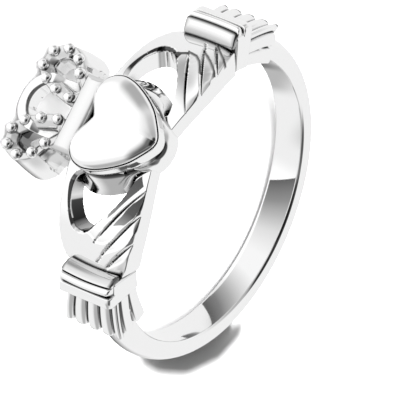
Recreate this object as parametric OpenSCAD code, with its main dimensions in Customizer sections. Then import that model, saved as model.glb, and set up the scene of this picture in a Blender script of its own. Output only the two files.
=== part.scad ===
// Claddagh ring: two hands hold a heart that wears a crown, cast in one piece.
// Sizes are in millimetres. In the ring's own frame the finger goes along Z, the heart
// faces -Y with its tip up, and the crown is below the heart. The finished ring is then
// tilted so that it lies by itself on its crown side, and the origin stays at the centre
// of the finger hole.

/* [Band] */
// Radius of the finger hole
hole_r = 8.65; // [7.5:0.05:10.5]
// Width of the plain band along the finger
band_w = 2.06; // [1.7:0.02:2.8]
// Thickness of the band at its crest
band_t = 1.36; // [1.1:0.02:1.7]
// Rise of the band's rounded outside above its edges
band_rise = 0.46; // [0.2:0.02:0.7]
// Bevel along both edges of the finger hole
hole_bevel = 0.1; // [0.05:0.01:0.2]

/* [Hands] */
// Angle round the finger from the heart to each cuff
hand_a = 45.4; // [42:0.2:50]
// Thickness of the hands outside the finger hole
hand_t = 1.45; // [1.2:0.05:1.9]
// Reach of the fingers towards the heart's tip
finger_reach = 2.65; // [2.3:0.05:3]
// Reach of the hands' tip-side edge at the finger hole
edge_reach = 2.35; // [2.1:0.05:2.6]
// Reach of the thumbs towards the crown
thumb_reach = 3.15; // [2.9:0.05:3.5]
// Width of the thumbs beside the pierced openings
thumb_w = 0.72; // [0.5:0.02:1]
// Width of the grooves between the fingers
groove_w = 0.3; // [0.15:0.01:0.45]
// Depth of the grooves between the fingers
groove_d = 0.42; // [0.2:0.02:0.6]

/* [Cuffs] */
// Length of each cuff bar along the finger
bar_w = 3.76; // [3:0.02:4.6]
// Thickness of the cuff bars outside the finger hole
bar_t = 2.65; // [2.2:0.05:3.2]
// Angle that a cuff bar covers round the finger
bar_a = 9; // [7:0.5:11]
// Angle that the pleats cover behind a cuff bar
pleat_a = 13; // [10:0.5:18]
// Thickness of the pleats outside the finger hole at their tips
pleat_t = 2.4; // [2:0.05:2.6]
// Thickness of the pleats where they leave the cuff bar
pleat_root_t = 1.85; // [1.6:0.05:2]
// Length of the pleated sleeve along the finger
sleeve_w = 4.1; // [3.4:0.02:4.8]
// Pleats across the outside of a cuff
pleat_n = 5; // [3:1:7]
// Radius of the rounded pleats
pleat_r = 0.4; // [0.3:0.01:0.5]

/* [Heart] */
// Width of the heart
heart_w = 5.86; // [5:0.02:6.6]
// Length of the heart from its lobes to its tip
heart_l = 5.2; // [4.6:0.05:5.8]
// Reach of the heart's tip from the middle of the band
tip_reach = 2.38; // [2:0.02:2.8]
// Height of the heart's rim outside the finger hole
heart_h = 2.35; // [2.1:0.05:2.8]
// Height of the heart's upright side wall
heart_wall = 1.2; // [0.7:0.05:1.5]
// Height of the domed top above the rim
heart_dome = 0.85; // [0.4:0.05:1.3]
// Inset of the plinth under the heart's wall
plinth_inset = 0.25; // [0.1:0.05:0.5]
// Reach of the palms' rounded nose below the heart's tip
nose_reach = 2.45; // [2.3:0.05:2.8]
// Half width of the palms' rounded nose
nose_w = 1.7; // [1.4:0.05:2.1]

/* [Crown] */
// Length of the bar along the foot of the crown
foot_w = 4.8; // [4:0.05:5.6]
// Thickness of the crown's foot bar along the finger
foot_t = 0.95; // [0.7:0.05:1.2]
// Overlap of the foot bar and the heart's lobes
foot_lap = 0.12; // [0.05:0.01:0.3]
// Height of the crown's foot bar outside the finger hole
crown_h = 1.85; // [1.6:0.05:2.2]
// Angle by which the crown falls towards the finger
crown_fall = 11; // [5:0.5:15]
// Half width across the crown's petals, to the beads' centres
petal_x = 3.4; // [3:0.05:3.9]
// Length of the crown's petals, to the beads' centres
petal_l = 4.35; // [3.8:0.05:4.8]
// Radius of the beads on the petals
bead_r = 0.42; // [0.3:0.01:0.46]
// Width of the petals' walls
petal_t = 0.76; // [0.6:0.02:0.9]
// Outer radius of the plain arch between the petals
arch_r = 1.7; // [1.4:0.05:1.9]
// Length of the plain arch from the foot bar
arch_l = 4.85; // [4.4:0.05:5.2]
// Width of the arch's rim
arch_t = 0.56; // [0.4:0.02:0.8]
// Depth of the arch towards the finger
arch_d = 1.15; // [0.8:0.05:1.4]

/* [Hidden] */
$fn = 96;
// Depth by which joined forms run into each other
sink = 0.3;
// Step that keeps two joined surfaces out of one plane
proud = 0.05;
// Points on each stretch of a smoothed outline, and of the heart's
smooth_steps = 4;
heart_steps = 3;
// Share of the heart's length at which its dome is highest, and the dome's layers
dome_middle = 0.42;
dome_layers = 6;
// Angle by which the pleats start inside the cuff bar
sleeve_lap_a = 2;
// Distance between the pleats on a flank, as a share of the sleeve's thickness
flank_share = 0.36;
// Radii of a pleat's tip at its two ends, as shares of the pleat's radius
PLEAT_TIP = [0.98, 0.6];

// Section of a cuff bar: share of its thickness, share of its angle
BAR_SHARES = [[0.92, 0.22], [0.98, 0.5], [1, 0.85], [0.85, 1]];

// Half of the heart's outline from notch to tip: share of the half width, share of the length
HEART_SHARES = [
    [0, 0.145], [0.17, 0.085], [0.35, 0.025], [0.56, 0], [0.77, 0.035], [0.92, 0.12],
    [0.99, 0.22], [0.995, 0.32], [0.93, 0.46], [0.77, 0.64], [0.58, 0.785], [0.34, 0.9],
    [0.13, 0.98], [0, 1],
];
// Tip-side edge of a hand: share of the hand's angle, share of the fingers' reach
FINGER_SHARES = [
    [0.08, 0.66], [0.17, 0.72], [0.31, 0.89], [0.5, 1], [0.72, 0.98], [0.88, 0.87], [1.04, 0.68],
];
// Crown-side edge of a hand: share of the hand's angle, share of the thumb's reach
THUMB_SHARES = [
    [1.04, 0.6], [0.97, 0.74], [0.88, 0.87], [0.73, 0.94], [0.5, 0.99], [0.3, 1], [0.18, 1],
];
// Fingers' edge of the opening: share of the hand's angle, share of the fingers' reach
OPENING_SHARES = [
    [0.79, -0.5], [0.73, -0.25], [0.56, 0.19], [0.39, 0.42], [0.26, 0.51], [0.29, 0.1],
    [0.34, -0.35], [0.38, -0.75],
];
// Thumb's edge of the opening: share of the hand's angle, distance from the thumb's inner line
OPENING_THUMB = [[0.45, 0], [0.62, 0], [0.74, 0.3]];
// Grooves between the fingers: start and end as shares of the hand's angle and fingers' reach
GROOVE_SHARES = [
    [[0.81, -0.11], [0.31, 0.85]],
    [[0.9, 0.13], [0.51, 0.98]],
    [[1, 0.26], [0.74, 0.98]],
];
// Centres of a petal's beads, from the heart's side round: share of petal_x, share of petal_l
BEAD_SHARES = [
    [0.2, 0.28], [0.27, 0.54], [0.4, 0.81], [0.62, 1], [0.9, 0.92], [1, 0.67], [0.86, 0.4],
    [0.63, 0.24],
];
// Root of a petal at the foot bar, in the same shares
PETAL_ROOT = [0.38, 0.12];

band_r = hole_r + band_t;
hand_r = hole_r + hand_t;
band_edge_r = band_r - band_rise;
lobe_z = tip_reach - heart_l;
heart_y = hole_r + heart_h;
crown_y = hole_r + crown_h;
foot_z = lobe_z + foot_lap - foot_t / 2;
deep_r = hole_r - 2 * sink;

function on_ring(r, a, z) = [r * sin(a), -r * cos(a), z];

// Point at share t between b and c on the smooth curve through a, b, c and d
function spline_at(a, b, c, d, t) =
    0.5 * (2 * b + (c - a) * t + (2 * a - 5 * b + 4 * c - d) * t * t
           + (3 * b - a - 3 * c + d) * t * t * t);

// Smooth open curve through a list of points
function smooth_open(p, steps = smooth_steps) = concat(
    [for (i = [0:len(p) - 2]) for (k = [0:steps - 1])
        spline_at(p[max(i - 1, 0)], p[i], p[i + 1], p[min(i + 2, len(p) - 1)], k / steps)],
    [p[len(p) - 1]]);

// Smooth closed curve through a list of points
function smooth_loop(p, steps = smooth_steps) = let (n = len(p))
    [for (i = [0:n - 1]) for (k = [0:steps - 1])
        spline_at(p[(i + n - 1) % n], p[i], p[(i + 1) % n], p[(i + 2) % n], k / steps)];

// Closed curve moved sideways by a distance, to its left as it runs
function moved_loop(p, distance) = let (n = len(p))
    [for (i = [0:n - 1]) let (
        along = p[(i + 1) % n] - p[(i + n - 1) % n],
        side = [-along[1], along[0]] / norm(along))
        p[i] + side * distance];

function backwards(p) = [for (i = [len(p) - 1:-1:0]) p[i]];

// Plain band with a flat inside, bevelled edges and a rounded outside
function band_profile() = let (
    half = band_w / 2,
    arc_r = (half * half + band_rise * band_rise) / (2 * band_rise),
    arc_a = asin(half / arc_r),
    steps = 8)
    concat(
        [[hole_r, half - hole_bevel], [hole_r, -half + hole_bevel],
         [hole_r + hole_bevel, -half]],
        [for (k = [0:steps]) let (a = -arc_a + 2 * arc_a * k / steps)
            [band_r - arc_r + arc_r * cos(a), arc_r * sin(a)]],
        [[hole_r + hole_bevel, half]]);

module band() {
    rotate([0, 0, 90 + hand_a + bar_a / 2 - 180])
        rotate_extrude(angle = 360 - 2 * (hand_a + bar_a / 2))
            polygon(band_profile());
}

// Flat drawing seen from the heart's side: x goes across, y along the finger
module stand_out(from_r, to_r) {
    rotate([90, 0, 0]) translate([0, 0, from_r]) linear_extrude(to_r - from_r) children();
}

// Place on the hand's middle plane for an angle and a height given as shares
function hand_point(shares, reach) = [
    hand_r * sin((shares[0] - 0.5) * hand_a),
    shares[1] * reach,
];

module hand_outline() {
    polygon(concat(
        smooth_open([for (s = FINGER_SHARES) hand_point(s, finger_reach)]),
        smooth_open([for (s = THUMB_SHARES) hand_point(s, -thumb_reach)])));
}

module opening_outline() {
    polygon(smooth_loop(concat(
        [for (s = OPENING_SHARES) hand_point(s, finger_reach)],
        [for (s = OPENING_THUMB) [hand_point(s, 1)[0], thumb_w - thumb_reach + s[1]]])));
}

// One sharp groove between two fingers, cut along a straight line into the round outside
module finger_groove(start, end) {
    a = (start[0] + end[0]) / 2 * hand_a;
    z = (start[1] + end[1]) / 2 * finger_reach;
    across = 2 * hand_r * sin((end[0] - start[0]) / 2 * hand_a);
    along = (end[1] - start[1]) * finger_reach;
    rotate([0, 0, a]) translate([0, -hand_r, z]) rotate([0, -atan2(along, across), 0])
        rotate([0, 90, 0])
            linear_extrude(norm([across, along]), center = true)
                polygon([[-groove_w, -groove_d], [groove_w, -groove_d], [0, groove_d]]);
}

// Space beyond the tip-side edge, which leans back towards the finger hole
module tip_side_lean() {
    far = hand_r + 1;
    lean = (finger_reach + 2 * proud - edge_reach) / hand_t;
    rotate_extrude() polygon([
        [deep_r, edge_reach - (hole_r - deep_r) * lean],
        [far, edge_reach + (far - hole_r) * lean],
        [far, 2 * finger_reach], [deep_r, 2 * finger_reach],
    ]);
}

module hand() {
    difference() {
        intersection() {
            rotate_extrude() translate([deep_r, -thumb_reach])
                square([hand_r - deep_r, thumb_reach + finger_reach]);
            rotate([0, 0, hand_a / 2]) stand_out(deep_r / 2, 2 * hand_r) hand_outline();
        }
        rotate([0, 0, hand_a / 2]) stand_out(deep_r / 2, 2 * hand_r) opening_outline();
        tip_side_lean();
        for (g = GROOVE_SHARES) finger_groove(g[0], g[1]);
    }
}

// Faceted bar across the wrist, running down to the finger hole
module cuff_bar() {
    corners = concat(
        [[deep_r, 0], [hand_r, 0]],
        [for (s = BAR_SHARES) [hole_r + s[0] * bar_t, s[1]]],
        [[deep_r, 1]]);
    linear_extrude(bar_w, center = true)
        polygon([for (c = corners) let (p = on_ring(c[0], hand_a + c[1] * bar_a, 0))
            [p[0], p[1]]]);
}

// Gathered end of the sleeve: a scalloped bar that leaves the finger as it runs back
module sleeve() {
    start_a = hand_a + bar_a - sleeve_lap_a;
    end_a = hand_a + bar_a + pleat_a;
    spread = sleeve_w / 2 - pleat_r;
    start = on_ring(hole_r + pleat_root_t - pleat_r, start_a, 0);
    tip = on_ring(hole_r + pleat_t - pleat_r, end_a, 0);
    along = tip - start;
    flank_step = (pleat_t - pleat_r) * flank_share;
    translate(start) rotate([0, 0, atan2(along[1], along[0])]) rotate([0, 90, 0]) {
        linear_extrude(norm(along)) {
            translate([-spread, 0]) square([2 * spread, pleat_t + sink]);
            for (k = [0:pleat_n - 1]) translate([spread * (2 * k / (pleat_n - 1) - 1), 0])
                circle(pleat_r, $fn = 24);
            for (side = [-1, 1]) for (k = [1:2]) translate([side * spread, k * flank_step])
                circle(pleat_r, $fn = 24);
        }
        for (k = [0:pleat_n - 1])
            translate([spread * (2 * k / (pleat_n - 1) - 1), 0, norm(along) - sink])
                cylinder(r1 = PLEAT_TIP[0] * pleat_r, r2 = PLEAT_TIP[1] * pleat_r,
                         h = sink + pleat_r / 2, $fn = 24);
    }
}

function heart_outline(inset = 0) = let (
    half = [for (s = HEART_SHARES) [s[0] * heart_w / 2, lobe_z + s[1] * heart_l]],
    right = smooth_open(half, heart_steps),
    all = concat(right, [for (p = backwards(right)) if (p[0] > 0.001) [-p[0], p[1]]]))
    inset == 0 ? all : moved_loop(all, inset);

// Domed top: outlines that shrink towards the middle of the heart as they rise
module heart_dome() {
    rim = heart_outline();
    n = len(rim);
    layers = dome_layers;
    middle = [0, lobe_z + dome_middle * heart_l];
    points = concat(
        [for (k = [0:layers - 1]) let (a = 90 * k / layers) for (p = rim)
            let (q = middle + (p - middle) * cos(a)) [q[0], q[1], heart_dome * sin(a)]],
        [[middle[0], middle[1], heart_dome], [middle[0], middle[1], 0]]);
    sides = [for (k = [0:layers - 2]) for (i = [0:n - 1]) let (j = (i + 1) % n)
        each [[k * n + i, (k + 1) * n + j, k * n + j], [k * n + i, (k + 1) * n + i, (k + 1) * n + j]]];
    top = [for (i = [0:n - 1]) [(layers - 1) * n + i, layers * n, (layers - 1) * n + (i + 1) % n]];
    base = [for (i = [0:n - 1]) [i, (i + 1) % n, layers * n + 1]];
    rotate([90, 0, 0]) translate([0, 0, heart_y]) polyhedron(points, concat(sides, top, base));
}

module heart() {
    heart_dome();
    stand_out(heart_y - heart_wall, heart_y) polygon(heart_outline());
    stand_out(deep_r, heart_y - heart_wall + sink) polygon(heart_outline(plinth_inset));
}

// Rounded nose of the two palms below the heart's tip
module palm_nose() {
    middle = nose_reach - nose_w;
    difference() {
        stand_out(deep_r, hand_r + 2 * proud) difference() {
            translate([0, middle]) circle(nose_w);
            translate([-2 * nose_w, middle - 2.5 * nose_w]) square([4 * nose_w, 2 * nose_w]);
        }
        tip_side_lean();
    }
}

// The crown is drawn on a plane that falls towards the finger: y is negative away from the heart
module on_crown(from_h, to_h) {
    translate([0, -crown_y, foot_z]) rotate([90 + crown_fall, 0, 0])
        translate([0, 0, from_h]) linear_extrude(to_h - from_h) children();
}

function crown_point(p, h) = [
    p[0],
    -crown_y - p[1] * sin(crown_fall) - h * cos(crown_fall),
    foot_z + p[1] * cos(crown_fall) - h * sin(crown_fall),
];

function bead_point(share) = [share[0] * petal_x, -share[1] * petal_l];

function petal_track() = smooth_loop(
    [for (s = concat([PETAL_ROOT], BEAD_SHARES)) bead_point(s)]);

module crown_foot() {
    half = foot_w / 2;
    translate([0, -crown_y + foot_t / 2, foot_z]) {
        rotate([0, 90, 0]) cylinder(d = foot_t, h = foot_w - foot_t, center = true, $fn = 32);
        for (side = [-1, 1]) translate([side * (half - foot_t / 2), 0, 0]) {
            sphere(d = foot_t, $fn = 32);
            rotate([-90, 0, 0]) cylinder(d = foot_t, h = crown_h + sink, $fn = 32);
        }
    }
    translate([-half + foot_t / 2, -crown_y + foot_t / 2, foot_z - foot_t / 2])
        cube([foot_w - foot_t, crown_h + sink, foot_t]);
}

module petal() {
    track = petal_track();
    on_crown(-crown_h - 4 * sink, 0) difference() {
        polygon(moved_loop(track, -petal_t / 2));
        polygon(moved_loop(track, petal_t / 2));
    }
    for (s = BEAD_SHARES) translate(crown_point(bead_point(s), 0)) sphere(r = bead_r, $fn = 32);
}

module arch() {
    on_crown(-arch_d, proud) difference() {
        union() {
            translate([0, -arch_l + arch_r]) circle(arch_r);
            translate([-arch_r, -arch_l + arch_r]) square([2 * arch_r, arch_l - arch_r]);
        }
        translate([0, -arch_l + arch_r]) circle(arch_r - arch_t);
        translate([-arch_r + arch_t, -arch_l + arch_r])
            square([2 * (arch_r - arch_t), arch_l]);
    }
}

// Tilt at which a point or ball of the crown touches the floor together with the band's far edge
function touch_tilt(p, r = 0) = let (
    across = -p[1] + band_edge_r,
    drop = -p[2] - band_w / 2)
    atan2(drop, across) + asin(r / norm([across, drop]));

// Lower edge of a petal's wall, where it meets the finger hole
function petal_foot(p) = let (
    h = (sqrt(hole_r * hole_r - p[0] * p[0]) - crown_y - p[1] * sin(crown_fall)) / cos(crown_fall))
    crown_point(p, h);

rest_tilt = max(concat(
    [for (s = BEAD_SHARES) touch_tilt(crown_point(bead_point(s), 0), bead_r)],
    [for (p = moved_loop(petal_track(), -petal_t / 2)) touch_tilt(petal_foot(p))],
    [touch_tilt(crown_point([0, -arch_l], -arch_d))]));

module ring() {
    color("silver") rotate([-rest_tilt, 0, 0]) difference() {
        union() {
            band();
            for (side = [0, 1]) mirror([side, 0, 0]) {
                hand();
                cuff_bar();
                sleeve();
                petal();
            }
            heart();
            palm_nose();
            crown_foot();
            arch();
        }
        cylinder(r = hole_r, h = 4 * (petal_l + thumb_reach), center = true, $fn = 192);
    }
}

ring();
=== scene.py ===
from math import atan2, cos, degrees, hypot, pi, radians, sin, sqrt

import bmesh
import bpy
from mathutils import Matrix, Vector


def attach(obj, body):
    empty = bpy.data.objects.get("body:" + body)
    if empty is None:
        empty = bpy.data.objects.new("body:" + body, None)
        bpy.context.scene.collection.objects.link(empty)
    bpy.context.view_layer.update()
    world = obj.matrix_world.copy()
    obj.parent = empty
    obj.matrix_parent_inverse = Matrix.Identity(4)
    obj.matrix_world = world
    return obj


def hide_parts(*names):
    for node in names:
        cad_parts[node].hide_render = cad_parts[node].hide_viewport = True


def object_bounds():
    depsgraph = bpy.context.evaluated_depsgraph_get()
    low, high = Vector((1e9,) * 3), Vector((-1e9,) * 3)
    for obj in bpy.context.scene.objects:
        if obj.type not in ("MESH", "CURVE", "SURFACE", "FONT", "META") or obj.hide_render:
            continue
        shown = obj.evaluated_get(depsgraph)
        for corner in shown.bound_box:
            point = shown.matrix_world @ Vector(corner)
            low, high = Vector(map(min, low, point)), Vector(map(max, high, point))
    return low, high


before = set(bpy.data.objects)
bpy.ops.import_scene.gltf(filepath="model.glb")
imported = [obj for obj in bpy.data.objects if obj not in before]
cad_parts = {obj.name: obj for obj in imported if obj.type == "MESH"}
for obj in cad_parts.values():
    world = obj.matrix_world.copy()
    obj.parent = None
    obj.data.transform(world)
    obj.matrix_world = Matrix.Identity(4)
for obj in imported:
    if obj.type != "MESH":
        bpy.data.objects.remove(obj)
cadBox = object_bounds()
print("packed ring loaded")

# The ring is modelled upright in millimetres: the finger goes along Z, the heart faces -Y with
# its tip up. layDown then turns it onto its crown and makes it metres.
ringSize = {
    "hole": 8.65,           # radius of the finger hole
    "hand": 10.1,           # distance of the hands' outside from the finger's axis
    "tilt": 20.383,
    "weld": 0.00002,        # points nearer than this become one
    "touch": 0.01,          # a point nearer than this to a face lies on it
}
mmToMetre = 0.001
layDown = Matrix.Rotation(-radians(ringSize["tilt"]), 4, "X") @ Matrix.Scale(mmToMetre, 4)
mmPerDegree = radians(1) * ringSize["hand"]     # along the hands

# Camera at the photo's angle: place in millimetres, then the image's right and down directions
photoView = {
    "place": (41.577, -257.111, 149.477),
    "right": (-0.4417, 0.3957, 0.8052),
    "down": (0.8865, 0.3305, 0.3238),
    "lens": 454.6,
    "sensor": 36,
    "nearest": 0.01, "farthest": 20,            # metres
}


def setCamera():
    bpy.ops.object.camera_add()
    cam = bpy.context.object
    cam.name = "photoCamera"
    right = (layDown.to_3x3() @ Vector(photoView["right"])).normalized()
    up = -(layDown.to_3x3() @ Vector(photoView["down"])).normalized()
    back = right.cross(up).normalized()
    up = back.cross(right)
    turn = Matrix((right, up, back)).transposed().to_4x4()
    cam.matrix_world = Matrix.Translation(layDown @ Vector(photoView["place"])) @ turn
    cam.data.lens = photoView["lens"]
    cam.data.sensor_width = photoView["sensor"]
    cam.data.clip_start = photoView["nearest"]
    cam.data.clip_end = photoView["farthest"]
    bpy.context.scene.camera = cam


setCamera()
print("camera set")


def pickOnly(obj):
    bpy.ops.object.select_all(action="DESELECT")
    obj.select_set(True)
    bpy.context.view_layer.objects.active = obj


def openEdit(obj):
    pickOnly(obj)
    bpy.ops.object.mode_set(mode="EDIT")
    bpy.ops.mesh.select_all(action="SELECT")


def closeEdit():
    bpy.ops.object.mode_set(mode="OBJECT")


def newMesh(name, add, **how):
    bpy.ops.object.select_all(action="DESELECT")
    add(**how)
    obj = bpy.context.object
    obj.name = obj.data.name = name
    bpy.ops.object.transform_apply(location=True, rotation=True, scale=True)
    return obj


def fillEnds():
    bpy.ops.mesh.select_mode(type="EDGE")
    bpy.ops.mesh.select_all(action="DESELECT")
    bpy.ops.mesh.select_non_manifold()
    bpy.ops.mesh.fill_holes(sides=0)
    bpy.ops.mesh.select_mode(type="VERT")


def pickParts(obj, kind, test):
    # Selects the vertices, edges or faces whose middle passes the test, in edit mode
    bpy.ops.mesh.select_mode(type=kind)
    bpy.ops.mesh.select_all(action="DESELECT")
    mesh = bmesh.from_edit_mesh(obj.data)
    for part in {"VERT": mesh.verts, "EDGE": mesh.edges, "FACE": mesh.faces}[kind]:
        corners = [part.co] if kind == "VERT" else [v.co for v in part.verts]
        if test(sum(corners, Vector()) / len(corners)):
            part.select_set(True)
    mesh.select_flush_mode()
    bmesh.update_edit_mesh(obj.data)


def onRing(r, a, z):
    a = radians(a)
    return Vector((r * sin(a), -r * cos(a), z))


def aroundRing(p):
    # Degrees from the heart, the same on both sides, and distance from the finger's axis
    return degrees(atan2(abs(p.x), -p.y)), hypot(p.x, p.y)


def boreWall(x):
    # Where the finger hole's wall lies along Y, straight behind a place on the heart's side
    return -sqrt(max(ringSize["hole"] ** 2 - x * x, 0.01))


def borePoint(x, z):
    return Vector((x, boreWall(x), z))


def splineAt(a, b, c, d, t):
    return 0.5 * (2 * b + (c - a) * t + (2 * a - 5 * b + 4 * c - d) * t * t
                  + (3 * b - a - 3 * c + d) * t * t * t)


def smoothLine(points, steps, closed=False):
    # Curve through the points, with steps for each stretch, one number or a list
    n = len(points)
    counts = steps if isinstance(steps, list) else [steps] * n
    out = []
    for i in range(n if closed else n - 1):
        near = [i + k if closed else min(max(i + k, 0), n - 1) for k in (-1, 0, 1, 2)]
        a, b, c, d = (Vector(points[k % n]) for k in near)
        out += [splineAt(a, b, c, d, k / counts[i]) for k in range(counts[i])]
    return out if closed else out + [Vector(points[-1])]


def roundedLine(points, radius, steps=3, closed=False):
    # The line with each corner replaced by a short arc, which stops before the next corner's
    points = [Vector(p) for p in points]
    n = len(points)
    out = []
    for i, p in enumerate(points):
        if not closed and i in (0, n - 1):
            out.append(p)
            continue
        before, after = points[i - 1] - p, points[(i + 1) % n] - p
        cut = min(radius, 0.45 * before.length, 0.45 * after.length)
        a, b = p + before.normalized() * cut, p + after.normalized() * cut
        for k in range(steps + 1):
            t = k / steps
            out.append((1 - t) ** 2 * a + 2 * t * (1 - t) * p + t * t * b)
    return out


def ease(t):
    t = min(max(t, 0), 1)
    return t * t * (3 - 2 * t)


def edgeDrop(distance, radius):
    # How far a rounded edge lies below the surface, at a distance from the edge
    if distance >= radius:
        return 0
    gone = radius - max(distance, 0)
    return radius - sqrt(max(radius * radius - gone * gone, 0))


def loft(name, sections, ring=False):
    # Skin through sections with the same number of points: a grid whose points are moved to them,
    # closed at both ends, or to a ring
    across, along = len(sections[0]), len(sections) - (0 if ring else 1)
    obj = newMesh(name, bpy.ops.mesh.primitive_grid_add,
                  x_subdivisions=across, y_subdivisions=along, size=2)
    for v in obj.data.vertices:
        i = round((v.co.x + 1) / 2 * across) % across
        j = round((v.co.y + 1) / 2 * along)
        v.co = sections[j % len(sections) if ring else j][i]
    openEdit(obj)
    bpy.ops.mesh.remove_doubles(threshold=ringSize["weld"])
    if not ring:
        fillEnds()
    closeEdit()
    return obj


def finishPiece(obj, angle, tone=None):
    # Lays the piece down, and gives it its finish and its place in the part. Before that, tone
    # gives the painted shade at each point, from 0 to 1
    if tone:
        layer = obj.data.attributes.new("paintedShade", "FLOAT", "POINT")
        for v, spot in zip(obj.data.vertices, layer.data):
            spot.value = tone(v.co)
    pickOnly(obj)
    bpy.ops.object.transform_apply(location=True, rotation=True, scale=True)
    openEdit(obj)
    bpy.ops.mesh.normals_make_consistent(inside=False)
    closeEdit()
    obj.data.transform(layDown)
    bpy.ops.object.shade_smooth_by_angle(angle=radians(angle))
    obj.data.materials.clear()
    obj.data.materials.append(silver)
    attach(obj, "root")
    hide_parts("ring")


def finishPair(obj, name, angle, tone=None, twinTone=None):
    # The piece, and a copy with its own mesh on the other side of the heart
    pickOnly(obj)
    bpy.ops.object.duplicate()
    twin = bpy.context.object
    twin.name = twin.data.name = name
    openEdit(twin)
    bpy.ops.transform.mirror(orient_type="GLOBAL", constraint_axis=(True, False, False),
                             center_override=(0, 0, 0))
    closeEdit()
    finishPiece(obj, angle, tone)
    finishPiece(twin, angle, twinTone)


# Polished silver: nearly white, faintly uneven as hand polishing leaves it, with painted shade
# darkening its recesses
silverLook = {
    "colour": (0.93, 0.93, 0.93, 1),
    # colour of the painted shade in recesses and where it is painted on a piece
    "recessShade": (0.015, 0.015, 0.015, 1),
    "rough": (0.03, 0.09),
    "wearScale": 420, "wearDetail": 5,
    "wipeScale": (900, 900, 14000), "wipeDetail": 3,
    "wearRange": (0.12, 0.42),      # where wear and wipes together go from smooth to dull
    "shadeReach": 0.0008,          # metres
    "shadeRange": (0.35, 0.75),    # open to this share of the light: all painted shade, and none
    "bump": 0.02, "bumpHigh": 0.00002,
}


def setInputs(tree, node, inputs):
    # An input is set to a value or fed by another node's output
    for key, value in inputs.items():
        if isinstance(value, bpy.types.NodeSocket):
            tree.links.new(value, node.inputs[key])
        else:
            node.inputs[key].default_value = value


def addNode(tree, kind, inputs=None, **settings):
    node = tree.nodes.new("ShaderNode" + kind)
    for key, value in settings.items():
        setattr(node, key, value)
    setInputs(tree, node, inputs or {})
    return node


def mathNode(tree, kind, *values):
    return addNode(tree, "Math", dict(enumerate(values)), operation=kind).outputs["Value"]


def rangeNode(tree, value, ends, results=(0, 1), **settings):
    # What lies between the two ends comes out between the two results
    keys = ("Value", "From Min", "From Max", "To Min", "To Max")
    inputs = dict(zip(keys, (value, *ends, *results)))
    return addNode(tree, "MapRange", inputs, **settings).outputs["Result"]


def makeSilver():
    look = silverLook
    mat = bpy.data.materials.new("polishedSilver")
    mat.use_nodes = True
    tree = mat.node_tree
    place = addNode(tree, "TexCoord").outputs["Object"]
    # Patches where the polish is a little duller, and fine wipe marks of the polishing wheel
    wear = addNode(tree, "TexNoise", {"Scale": look["wearScale"], "Detail": look["wearDetail"],
                                      "Vector": place}).outputs["Fac"]
    stretch = addNode(tree, "Mapping", {"Scale": look["wipeScale"], "Vector": place})
    wipes = addNode(tree, "TexNoise", {"Scale": 1, "Detail": look["wipeDetail"],
                                       "Vector": stretch.outputs["Vector"]}).outputs["Fac"]
    bump = addNode(tree, "Bump", {"Strength": look["bump"], "Distance": look["bumpHigh"],
                                  "Height": wear})
    # Painted shade in narrow places, and the painted shade and reflections on a few pieces
    recessShade = addNode(tree, "AmbientOcclusion", {"Distance": look["shadeReach"]}, samples=8)
    bright = rangeNode(tree, recessShade.outputs["AO"], look["shadeRange"])
    painted = addNode(tree, "Attribute", attribute_name="paintedShade").outputs["Fac"]
    bright = mathNode(tree, "MULTIPLY", bright, mathNode(tree, "SUBTRACT", 1, painted))
    tone = addNode(tree, "Mix", {"A": look["recessShade"], "B": look["colour"], "Factor": bright},
                   data_type="RGBA")
    both = mathNode(tree, "MULTIPLY", wear, wipes)
    setInputs(tree, tree.nodes["Principled BSDF"], {
        "Metallic": 1, "Roughness": rangeNode(tree, both, look["wearRange"], look["rough"]),
        "Base Color": tone.outputs["Result"], "Normal": bump.outputs["Normal"]})
    return mat


silver = makeSilver()
print("silver made")


def fade(value, near, far):
    # 1 up to near, 0 from far on
    return 1 - ease((value - near) / (far - near))


# Plain band: flat inside with bevelled edges, round outside
shankSize = {
    "width": 2.06,
    "thick": 1.35,
    "rise": 0.46,           # how far the outside's crest stands over its edges
    "bevelCut": 0.1414,     # along the corner's slant
    "softEdge": 0.05, "softCuts": 3, "softFrom": 30,
    "start": 53,            # degrees from the heart, where the band leaves the sleeves
    "steps": 260, "arcCuts": 14,
}


def makeShank():
    s, hole = shankSize, ringSize["hole"]
    middle = (hole + s["thick"] / 2, 0, 0)
    obj = newMesh("shank", bpy.ops.mesh.primitive_plane_add,
                  size=1, location=middle, rotation=(pi / 2, 0, 0))
    openEdit(obj)
    bpy.ops.transform.resize(value=(s["thick"], 1, s["width"]), center_override=middle)
    outer, touch = hole + s["thick"], ringSize["touch"]
    pickParts(obj, "EDGE", lambda p: p.x > outer - touch)
    bpy.ops.mesh.subdivide(number_cuts=s["arcCuts"])
    pickParts(obj, "VERT", lambda p: p.x < hole + touch)
    bpy.ops.mesh.bevel(offset=s["bevelCut"], segments=1, affect="VERTICES")
    bpy.ops.mesh.select_all(action="SELECT")
    bpy.ops.mesh.delete(type="ONLY_FACE")
    half = s["width"] / 2
    arc = (half * half + s["rise"] ** 2) / (2 * s["rise"])
    mesh = bmesh.from_edit_mesh(obj.data)
    for v in mesh.verts:
        if v.co.x > outer - touch:      # the outside swells to its crest
            v.co.x = outer - arc + sqrt(arc * arc - v.co.z ** 2)
    bmesh.update_edit_mesh(obj.data)
    bpy.ops.mesh.select_all(action="SELECT")
    bpy.ops.mesh.spin(steps=s["steps"], angle=-radians(360 - 2 * s["start"]),
                      center=(0, 0, 0), axis=(0, 0, 1))
    fillEnds()
    closeEdit()
    # The spin starts on +X, and the band starts beside the heart
    obj.data.transform(Matrix.Rotation(radians(s["start"] - 90), 4, "Z"))
    soft = obj.modifiers.new("softEdges", "BEVEL")
    soft.width = s["softEdge"]
    soft.segments = s["softCuts"]
    soft.limit_method = "ANGLE"
    soft.angle_limit = radians(s["softFrom"])
    pickOnly(obj)
    bpy.ops.object.modifier_apply(modifier=soft.name)
    return obj


finishPiece(makeShank(), 32)
print("band made")

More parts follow.
